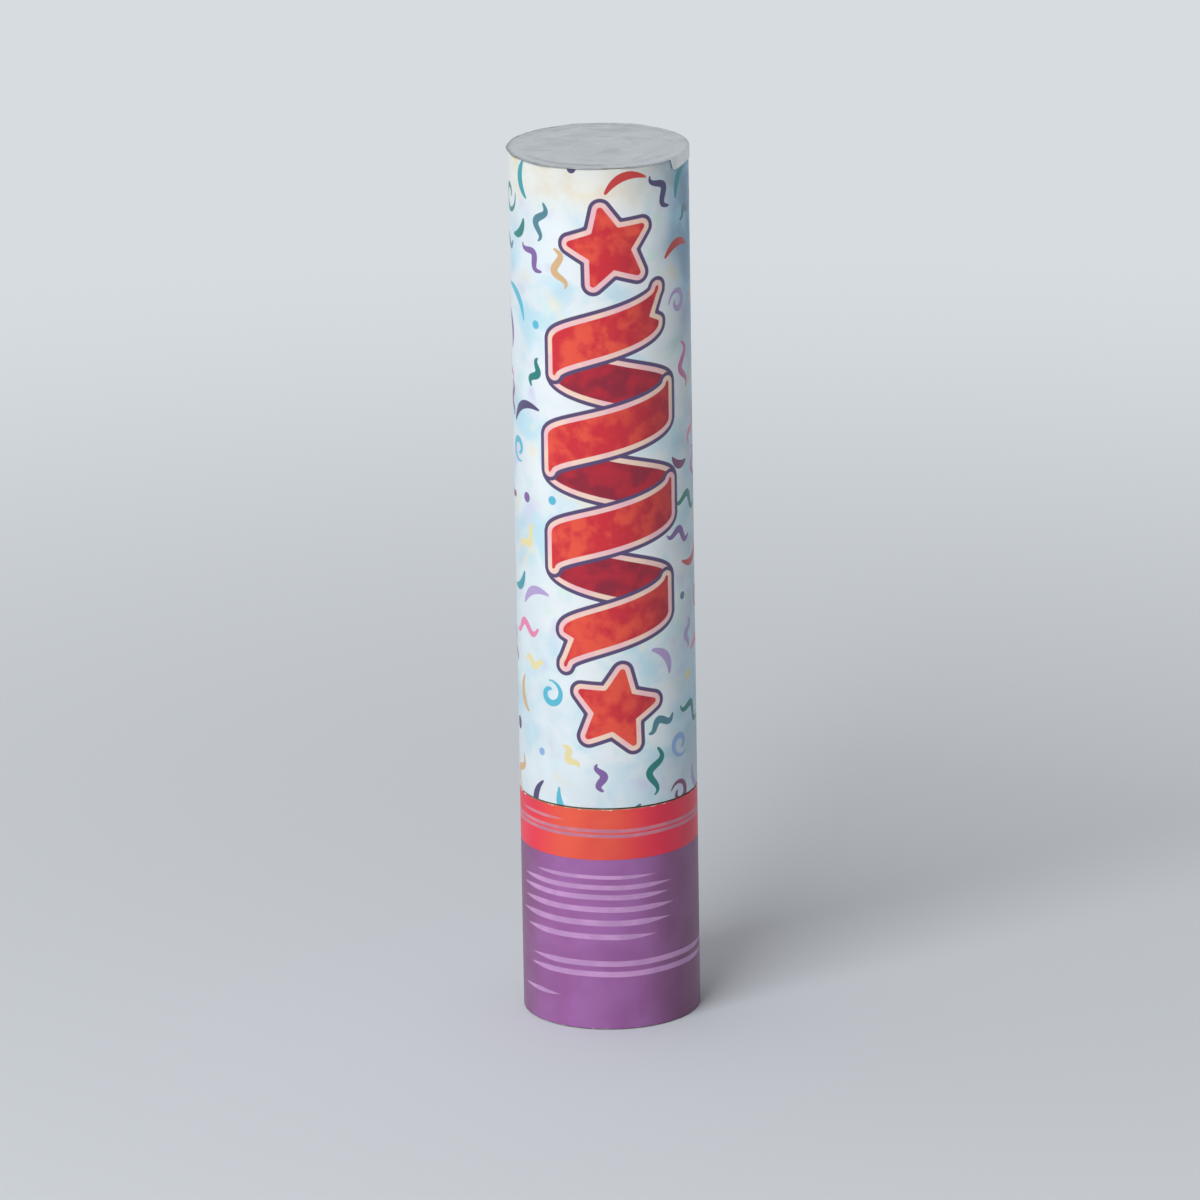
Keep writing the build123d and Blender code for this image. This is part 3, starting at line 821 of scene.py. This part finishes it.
def foil_relief(x, y, chance):
    """Height of creases and swells. A crease is sharp, an exponential of the distance to a line, and dies
    away along it as a bell curve. A swell is a sine across a bent line, folded up to a ridge. Broad dents
    are the product of two sines."""
    relief = dent_height * np.sin(x / dent_across[0] + dent_across[1])
    relief = relief * np.sin(y / dent_along[0] + dent_along[1])
    for _ in range(crease_count):
        way, offset = chance.uniform(0, math.pi), chance.uniform(*crease_offset)
        size, width = chance.uniform(*crease_height), chance.uniform(*crease_width)
        sign = chance.choice([-1, 1])
        away = x * math.cos(way) + y * math.sin(way) - offset
        along = -x * math.sin(way) + y * math.cos(way) - chance.uniform(*crease_shift)
        reach = chance.uniform(*crease_reach)
        relief += sign * size * np.exp(-np.abs(away) / width) * np.exp(-((along / reach) ** 2))
    for k in range(swell_count):
        way = math.pi * (k + chance.uniform(*swell_jitter)) / swell_count
        length = chance.uniform(*swell_length)
        along = y * math.cos(way) - x * math.sin(way)
        bent = bend_height * np.sin(along / chance.uniform(*bend_length) + chance.uniform(*bend_start))
        across = x * math.cos(way) + y * math.sin(way) + bent
        ridge = np.sin(math.pi * across / length + chance.uniform(*swell_start))
        relief += swell_slope * length * (swell_crest - np.abs(ridge))
    return relief


def foil_cap(columns=360, top_rows=64, skirt_rows=9, row_spread=0.9):
    """Foil as one closed skin: the top from its centre out, round the rim, down the turned edge, and the
    same way back one sheet's thickness inside. The rim is a sharp fold on a circle with corners that stand
    out as tents. The top = a shallow dish with a groove along the board, plus the relief and puckers. The
    turned edge hangs by a depth that differs round the rim, deep at a flap on the right. Also gives the
    darkening along the rim: deeper where the edge is pleated tight, with a painted shade strongest at the
    left and back."""
    chance = np.random.default_rng(7)
    low, high, radius = reach_of("foil_seal")
    angle = np.linspace(-math.pi, math.pi, columns, endpoint=False)
    degrees = np.degrees(angle)
    at, stands = np.array(list(foil_corners.items())).T[..., None]
    corner = (stands * np.maximum(1 - np.abs(short_way(degrees - at, 360)) / corner_width, 0)).max(0)
    close = label_radius + foil_sheet + foil_room
    rim = close + (radius - foil_room - close) * corner

    ragged, pleat = (
        np.interp(
            angle, np.linspace(-math.pi, math.pi, count), chance.uniform(least, 1, count), period=full_turn
        )
        for count, least in ((edge_tears, 0), (edge_pleats, -1))
    )
    flap = ramp(degrees, flap_start - flap_cut, flap_start + flap_cut)
    flap = flap * ramp(-degrees, -flap_end - flap_fade, -flap_end + flap_fade)
    rear = ramp(np.abs(degrees), *rear_rise)
    parts = ((1, edge_turned), (rear, rear_turned), (flap, flap_turned))
    depth = sum(amount * (least + swing * ragged) for amount, (least, swing) in parts)
    depth = np.minimum(depth, high - low)

    out = (np.linspace(0, 1, top_rows) ** row_spread)[:, None] * rim[None, :]
    relief = foil_relief(out * np.sin(angle), -out * np.cos(angle), chance)
    board = label_radius - mouth_wall
    groove, groove_inside, groove_width = rim_groove
    pressed = foil_dish * (1 - ramp(out, board - dish_slope, board))
    pressed = pressed + groove * np.exp(-(((out - board + groove_inside) / groove_width) ** 2))
    kept = 1 - (1 - relief_on_board) * ramp(out - board, *board_rise)
    puckered = pucker_height * pleat * ramp(out - board, *pucker_rise)
    top = np.minimum(high - foil_level - pressed + relief * kept + puckered, high - foil_highest)
    top = np.where(out > board - rim_band, np.maximum(top, high - rim_lowest), top)

    down = np.linspace(0, 1, skirt_rows + 1)[1:, None]
    skirt_out = np.clip(rim + (flare_out + flare_swing * pleat) * down, close, radius)
    skirt_up = top[-1] - down * depth

    outer_out = np.vstack([out, skirt_out])
    outer_up = np.vstack([top, skirt_up])
    row = np.arange(top_rows + skirt_rows)[:, None]
    inner_out = np.maximum(outer_out - foil_sheet * (row >= top_rows - 1), 0)[::-1]
    inner_up = (outer_up - foil_sheet * (row < top_rows))[::-1]
    out, up = np.vstack([outer_out, inner_out]), np.vstack([outer_up, inner_up])
    points = np.stack([out * np.sin(angle), -out * np.cos(angle), up], -1)
    # painted shade along the rim: strongest at the left and the back, least at the right
    to_left = -np.sin(angle) - shade_at_rear * np.cos(angle)
    shaded = shade_at_right + (1 - shade_at_right) * ramp(to_left, *shade_rise)
    tight = crimp_least + (1 - crimp_least) * np.abs(pleat)
    crimp_and_shade = np.exp(-((rim - out) / crimp_shade_width) ** 2) * tight * shaded
    faces = skin(len(points), columns, pole_start=True, pole_end=True)
    return points[:, ::-1], faces, {"crimp_and_shade": crimp_and_shade[:, ::-1]}


points, faces, marks = foil_cap()
foil = build("mouth_foil", points, faces, aluminium_foil, crease=60.0, marks=marks)
place(foil, "foil", "foil", "foil_seal")


# Load

slip_inks = ["#e2568c", "#f2c230", "#3fa7d6", "#57b368", "#e4e1da", "#e2573f", "#8d62b3", "#f59a3c"]
film_inks = ["#c9ccd1", "#d9b458", "#5f93cf", "#d9628f", "#5fb58a", "#b98ad0"]
roll_inks = ["#e65a92", "#f0c63c", "#4fb0d8", "#63b56c", "#e5603f", "#9a6cc0"]

load_radius = reach_of("felt_wad")[2]
cell = load_radius / 3    # seven round cells fill the tube, each with a bundle in it
cell_room = 0.1
bundle_corner = math.radians(35)        # of a bundle's section, off its width
bundle_thickness = 2 * (cell - cell_room) * math.sin(bundle_corner)
bundle_width = 2 * (cell - cell_room) * math.cos(bundle_corner)
bundle_layers = 3
bundle_bow = 0.3          # how far a whole bundle is bent
bundle_slack = 0.3
slips_in_bundle = 18
slip_thickness = 0.2
slip_rows = 7
slip_bow, slip_curl, slip_twist = 0.05, 0.06, 0.04      # of one slip: along it, across it, and turned
short_side, short_foot, short_head = (0.1, 1.0), (0.1, 1.4), (0.3, 3.4)     # how far slips stop short


def slip_strips(node, places, inks, seed):
    """Thin strips on edge, packed in bundles: a flat section of six points, two long sides of three, carried
    up each strip. Depth = its place in the bundle + a half sine bow along it, mostly the whole bundle's + a
    parabola across it + a slight turn; ends and sides stand unevenly. All seeded, each strip with its own
    tint. Places are distances and degrees from the axis."""
    chance = np.random.default_rng(seed)
    low, high, _ = reach_of(node)
    layer_height = (high - low) / bundle_layers
    bundles = np.array([(r, a, k) for k in range(bundle_layers) for r, a in places], float)
    count = len(bundles) * slips_in_bundle
    bundle = np.repeat(bundles, slips_in_bundle, axis=0)
    packed = bundle_thickness - 2 * bundle_bow - bundle_slack
    place_in = (np.tile(np.arange(slips_in_bundle), len(bundles)) + 0.5) / slips_in_bundle - 0.5
    t = np.linspace(0, 1, slip_rows)
    bow = np.repeat(chance.uniform(-bundle_bow, bundle_bow, (len(bundles), 1)), slips_in_bundle, axis=0)
    bow = bow + chance.uniform(-slip_bow, slip_bow, (count, 1))
    half = bundle_width / 2 - chance.uniform(*short_side, (count, 1))
    shift = chance.uniform(-1, 1, (count, 1)) * (bundle_width / 2 - half)
    bottom = low + bundle[:, 2:] * layer_height + chance.uniform(*short_foot, (count, 1))
    top = low + (bundle[:, 2:] + 1) * layer_height - chance.uniform(*short_head, (count, 1))
    up = bottom + (top - bottom) * t
    depth = packed * place_in[:, None] + bow * np.sin(math.pi * t)

    face = slip_thickness / 2 * np.array([-1, 1, 1, 1, -1, -1])
    side = np.array([-1, -1, 0, 1, 1, 0])
    curled = chance.uniform(-slip_curl, slip_curl, (count, 1, 1)) * (1 - side ** 2)
    turned = chance.uniform(-slip_twist, slip_twist, (count, 1, 1)) * side
    x = bundle[:, :1, None] + depth[..., None] + face + curled + turned
    y = shift[..., None] + half[..., None] * side + 0 * x
    turn = np.radians(bundle[:, 1])[:, None, None]
    points = np.stack([
        x * np.cos(turn) - y * np.sin(turn), x * np.sin(turn) + y * np.cos(turn), up[..., None] + 0 * x,
    ], -1)
    section = len(side)
    ends = np.array([[0, 5, 2, 1], [5, 4, 3, 2], [0, 1, 2, 5], [5, 2, 3, 4]])
    ends[2:] += section * (slip_rows - 1)
    strip = np.vstack([skin(slip_rows, section), ends])
    faces = (strip[None] + section * slip_rows * np.arange(count)[:, None, None]).reshape(-1, 4)
    palette = np.array([linear(code) for code in inks])
    run = chance.integers(len(inks), size=(len(bundles), 1)) + np.arange(slips_in_bundle) // 2
    tint = np.repeat(palette[(run % len(inks)).ravel()], section * slip_rows, axis=0)
    return points, faces, {"tint": tint}


points, faces, marks = slip_strips(
    "paper_slips", [(0, 0), (2 * cell, 0), (2 * cell, 120), (2 * cell, 240)], slip_inks, seed=11
)
slips = build("tissue_slips", points, faces, tissue_paper, marks=marks)
place(slips, "load", "slip_paper", "paper_slips")
points, faces, marks = slip_strips(
    "foil_slips", [(2 * cell, 60), (2 * cell, 180), (2 * cell, 300)], film_inks, seed=12
)
film = build("film_slips", points, faces, metal_film, marks=marks)
place(film, "load", "slip_foil", "foil_slips")

roll_count = 6            # three side by side, in two layers
roll_turns = 15
roll_steps = 36           # in a turn
roll_hole = 2.5
roll_room = 0.15          # round a roll
roll_gap = 0.03           # under and over it
roll_margin = 0.3         # of a turn's pitch, inside and outside the winding
roll_paper = 0.62         # share of the pitch that the strip takes, with the air in it
roll_uneven = (0.02, 0.45)              # how far turns stand apart
foot_share, head_share = 0.4, 0.5       # of that, below and above


def streamer_spirals():
    """Paper streamers wound up: a flat upright strip carried along a spiral whose radius grows evenly from
    the hole to the outside, each turn standing a little higher or lower than the last."""
    chance = np.random.default_rng(13)
    low, high, _ = reach_of("streamer_rolls")
    packed = load_radius / (1 + 2 / math.sqrt(3))
    height = (high - low) / 2
    count = roll_turns * roll_steps + 1
    t = np.linspace(0, 1, count)
    pitch = (packed - roll_room - roll_hole) / roll_turns
    out = roll_hole + pitch * (roll_margin + (roll_turns - 2 * roll_margin) * t)
    rolls = np.arange(roll_count)
    turn = full_turn * roll_turns * t[None, :] + chance.uniform(0, full_turn, (roll_count, 1))
    uneven = chance.uniform(*roll_uneven, (roll_count, roll_turns + 2))
    uneven = np.stack([np.interp(t * roll_turns, np.arange(roll_turns + 2), row) for row in uneven])
    corner_out = roll_paper * pitch / 2 * np.array([1, -1, -1, 1])
    corner_up = np.array([0, 0, 1, 1])
    centre = np.radians(120 * (rolls % 3) + 60 * (rolls // 3))[:, None, None]
    radius = out[None, :, None] + corner_out
    x = (load_radius - packed) * np.cos(centre) + radius * np.cos(turn)[..., None]
    y = (load_radius - packed) * np.sin(centre) + radius * np.sin(turn)[..., None]
    bottom = (low + height * (rolls // 3))[:, None, None]
    foot = bottom + roll_gap + foot_share * uneven[..., None]
    head = bottom + height - roll_gap - head_share * uneven[..., None]
    points = np.stack([x, y, foot + (head - foot) * corner_up], -1)
    section = len(corner_up)
    first = np.arange(section)
    ends = np.stack([first[::-1], first + section * (count - 1)])
    faces = np.vstack([skin(count, section), ends])[None] + section * count * rolls[:, None, None]
    tint = np.repeat(np.array([linear(code) for code in roll_inks]), section * count, axis=0)
    return points, faces.reshape(-1, 4), {"tint": tint}


points, faces, marks = streamer_spirals()
spirals = build("streamer_spirals", points, faces, crepe_paper, marks=marks)
place(spirals, "load", "streamer_paper", "streamer_rolls")

felt_soft = 1.1           # rounding of the wad's edges
felt_fur, fur_rise = 0.16, 2.0          # how far its edge is frayed, and where that starts inside it
felt_edge = 0.4           # inside its edge, where its faces stop being wavy
broad_wave, broad_across, broad_along = 0.07, (2.3, 1.0), (2.9, 0.0)
fine_wave, fine_across, fine_along = 0.05, 0.9, 1.1


def felt_pad(columns=120, flat_rows=22, round_rows=6, side_rows=4):
    """Punched felt: a disc profile with soft edges carried round the axis, its faces uneven by crossed waves
    and its edge furry by seeded steps."""
    chance = np.random.default_rng(17)
    low, high, radius = reach_of("felt_wad")
    flat = np.linspace(0, radius - felt_soft, flat_rows)
    quarter = np.linspace(0, math.pi / 2, round_rows + 1)[1:]
    out = np.concatenate([flat, radius - felt_soft + felt_soft * np.sin(quarter)])
    dip = np.concatenate([0 * flat, felt_soft * (1 - np.cos(quarter))])
    side = np.linspace(low + felt_soft, high - felt_soft, side_rows + 2)[1:-1]
    profile_out = np.concatenate([out, np.full(side_rows, radius), out[::-1]])[:, None]
    profile_up = np.concatenate([low + dip, side, (high - dip)[::-1]])[:, None]
    angle = np.linspace(0, full_turn, columns, endpoint=False)
    fur = chance.uniform(0, felt_fur, (len(profile_out), columns))
    spread = profile_out - fur * ramp(profile_out, radius - fur_rise, radius)
    x, y = spread * np.sin(angle), -spread * np.cos(angle)
    waves = np.sin(x / broad_across[0] + broad_across[1]) * np.sin(y / broad_along[0] + broad_along[1])
    waves = broad_wave * (1 + waves) + fine_wave * (1 + np.sin(x / fine_across + y / fine_along))
    inward = np.sign((low + high) / 2 - profile_up) * (profile_out < radius - felt_edge)
    points = np.stack([x, y, profile_up + inward * waves], -1)
    return points, skin(len(points), columns, pole_start=True, pole_end=True)


points, faces = felt_pad()
wad = build("felt_pad", points, faces, wool_felt, crease=70.0)
place(wad, "load", "felt", "felt_wad")


# Valve spring

spring_wire = 0.25        # its radius
spring_radius = 2.1
spring_turns = 5


def spring_coil(steps=180, around=12):
    """Round wire carried along a helix: a circle in the plane of the outward and the climbing direction,
    closed flat at both ends by a ring of no size."""
    low, high, _ = reach_of("valve_spring")
    t = np.concatenate([[0], np.linspace(0, 1, steps), [1]])[:, None]
    turn = full_turn * spring_turns * t
    climb = high - low - 2 * spring_wire
    slope = math.atan2(climb, full_turn * spring_turns * spring_radius)
    ring = -np.linspace(0, full_turn, around, endpoint=False)[None, :]
    size = np.full((len(t), 1), spring_wire)
    size[[0, -1]] = 0
    out = spring_radius + size * np.cos(ring)
    aside = -size * np.sin(ring) * math.sin(slope)
    x = out * np.cos(turn) - aside * np.sin(turn)
    y = out * np.sin(turn) + aside * np.cos(turn)
    up = low + spring_wire + climb * t + size * np.sin(ring) * math.cos(slope)
    points = np.stack([x, y, up], -1)
    return points, skin(len(points), around, pole_start=True, pole_end=True)


points, faces = spring_coil()
coil = build("spring_coil", points, faces, drawn_steel, crease=70.0)
place(coil, "grip", "steel", "valve_spring")
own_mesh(coil)


# Floor, light and camera

floor_half = 20000.0      # half its width
floor_below = 0.2         # keeps it clear of the tube's end
floor_fade = (0.1, 0.85)  # metres from the object where its view starts to fade and has gone
sky_tone = linear("#d7dce1")            # the pale background, as it is seen
ceiling_tone = linear("#aeb3b8")        # the dimmer room above it, which the foil reflects
ceiling_rise = (0.2, 0.85)              # heights, as sines, where the room starts to dim and is dimmest
sky_level, sky_lean = 0.43, 0.3         # soft light from all round, and how much more of it from one side
sky_side = (-0.85, 0.53, 0.0)           # that side: left and behind
key_level = 0.755         # light of the soft box on a white card that faces it
key_away = 2.2            # metres, and its size
key_size = (1.3, 1.0)
key_azimuth, key_elevation = -33.0, 40.0
key_glow = (0.82, 0.98)   # cosines off its direction where its reflection starts and is full
aim = Vector((-1.523, 0.0, 118.549)) * mm       # what the middle of the photo looks at
view_away = 3.0           # metres
view_elevation = 16.950
view_roll = math.radians(-0.957)
lens_pixels, frame_pixels = 10714.9, 1200
sensor = 36.0


def towards(azimuth, elevation):
    """Direction from the object to something at that azimuth and elevation, counted as the views are."""
    a, e = math.radians(azimuth), math.radians(elevation)
    return Vector((math.sin(a) * math.cos(e), -math.cos(a) * math.cos(e), math.sin(e)))


def looked_at(tree):
    """1 for rays that look at the background, straight or by a reflection, and 0 for those that carry
    light."""
    path = add(tree, "ShaderNodeLightPath").outputs
    inputs = {0: path["Is Camera Ray"], 1: path["Is Glossy Ray"]}
    rays = add(tree, "ShaderNodeMath", inputs, operation="ADD")
    inputs = {0: rays.outputs["Value"], 1: path["Is Transmission Ray"]}
    return add(tree, "ShaderNodeMath", inputs, operation="ADD", use_clamp=True).outputs["Value"]


def studio_paper():
    """Seamless background paper: matte cool grey near the object, where it keeps the shadow. Further off, the
    view of it fades to the even pale tone of a lit sweep, which lights nothing."""
    material, tree, shader = start_material(
        "seamless_background_paper", Base_Color=linear("#ced3d9"), Roughness=0.9, IOR=1.4
    )
    where = add(tree, "ShaderNodeTexCoord").outputs["Object"]
    away = add(tree, "ShaderNodeVectorMath", {0: where}, operation="LENGTH").outputs["Value"]
    fade = add(
        tree, "ShaderNodeMapRange", {"Value": away, "From Min": floor_fade[0], "From Max": floor_fade[1]},
        interpolation_type="SMOOTHSTEP",
    )
    inputs = {0: fade.outputs["Result"], 1: looked_at(tree)}
    seen = add(tree, "ShaderNodeMath", inputs, operation="MULTIPLY")
    pale = add(tree, "ShaderNodeEmission", {"Color": sky_tone, "Strength": 1.0})
    inputs = {0: seen.outputs["Value"], 1: shader.outputs["BSDF"], 2: pale.outputs["Emission"]}
    both = add(tree, "ShaderNodeMixShader", inputs)
    tree.links.new(both.outputs["Shader"], tree.nodes["Material Output"].inputs["Surface"])
    return material


def studio_world(to_key):
    """Soft light from all round, a little more from one side. Rays that look at it see the pale background,
    a dimmer room above, and the glow of the soft box."""
    world = bpy.data.worlds.new("studio")
    world.use_nodes = True
    tree = world.node_tree
    tree.nodes.clear()
    way = add(tree, "ShaderNodeTexCoord").outputs["Generated"]
    side, near_key = (
        add(tree, "ShaderNodeVectorMath", {0: way, 1: other}, operation="DOT_PRODUCT").outputs["Value"]
        for other in (sky_side, to_key)
    )
    level = add(tree, "ShaderNodeMath", {0: side, 1: sky_lean, 2: sky_level}, operation="MULTIPLY_ADD")
    inputs = {"Color": linear("#ffffff"), "Strength": level.outputs["Value"]}
    light = add(tree, "ShaderNodeBackground", inputs)
    height = add(tree, "ShaderNodeSeparateXYZ", {"Vector": way}).outputs["Z"]
    tone = sky_tone
    glow = linear("#ffffff")
    for along, (start, end), colour in ((height, ceiling_rise, ceiling_tone), (near_key, key_glow, glow)):
        part = add(
            tree, "ShaderNodeMapRange", {"Value": along, "From Min": start, "From Max": end},
            interpolation_type="SMOOTHSTEP",
        )
        inputs = {share: part.outputs["Result"], under: tone, over: colour}
        tone = add(tree, "ShaderNodeMix", inputs, data_type="RGBA").outputs[mixed]
    seen = add(tree, "ShaderNodeBackground", {"Color": tone, "Strength": 1.0})
    inputs = {0: looked_at(tree), 1: light.outputs["Background"], 2: seen.outputs["Background"]}
    both = add(tree, "ShaderNodeMixShader", inputs)
    add(tree, "ShaderNodeOutputWorld", {"Surface": both.outputs["Shader"]})
    return world


def soft_box(to_key):
    """A broad soft lamp that faces the object. Its energy gives the key level at its distance."""
    key = bpy.data.lights.new("soft_box", "AREA")
    key.shape = "RECTANGLE"
    key.size, key.size_y = key_size
    key.energy = key_level * (math.pi * key_away) ** 2
    lamp = bpy.data.objects.new("soft_box", key)
    lamp.location = aim + to_key * key_away
    lamp.rotation_euler = (-to_key).to_track_quat("-Z", "Y").to_euler()
    lamp.visible_glossy = False
    return lamp


def photo_camera():
    """The photo's view: from the front and a little above, leaning by a small roll."""
    camera = bpy.data.cameras.new("camera")
    camera.sensor_width = sensor
    camera.lens = lens_pixels / frame_pixels * sensor
    viewer = bpy.data.objects.new("camera", camera)
    back = towards(0.0, view_elevation)
    right = Vector((1.0, 0.0, 0.0))
    above = back.cross(right)
    leaning_right = right * math.cos(view_roll) + above * math.sin(view_roll)
    leaning_up = above * math.cos(view_roll) - right * math.sin(view_roll)
    turned = Matrix((leaning_right, leaning_up, back)).transposed().to_4x4()
    viewer.matrix_world = Matrix.Translation(aim + back * view_away) @ turned
    return viewer


floor_corners = np.array([[-1, -1], [1, -1], [1, 1], [-1, 1]]) * floor_half
floor_points = np.column_stack([floor_corners, np.full(4, -floor_below)])
floor = build("floor", floor_points, np.array([[0, 1, 2, 3]]), studio_paper())

scene = bpy.context.scene
to_key = towards(key_azimuth, key_elevation)
scene.world = studio_world(to_key)
scene.collection.objects.link(soft_box(to_key))
viewer = photo_camera()
scene.collection.objects.link(viewer)
scene.camera = viewer
scene.view_settings.view_transform = "Standard"
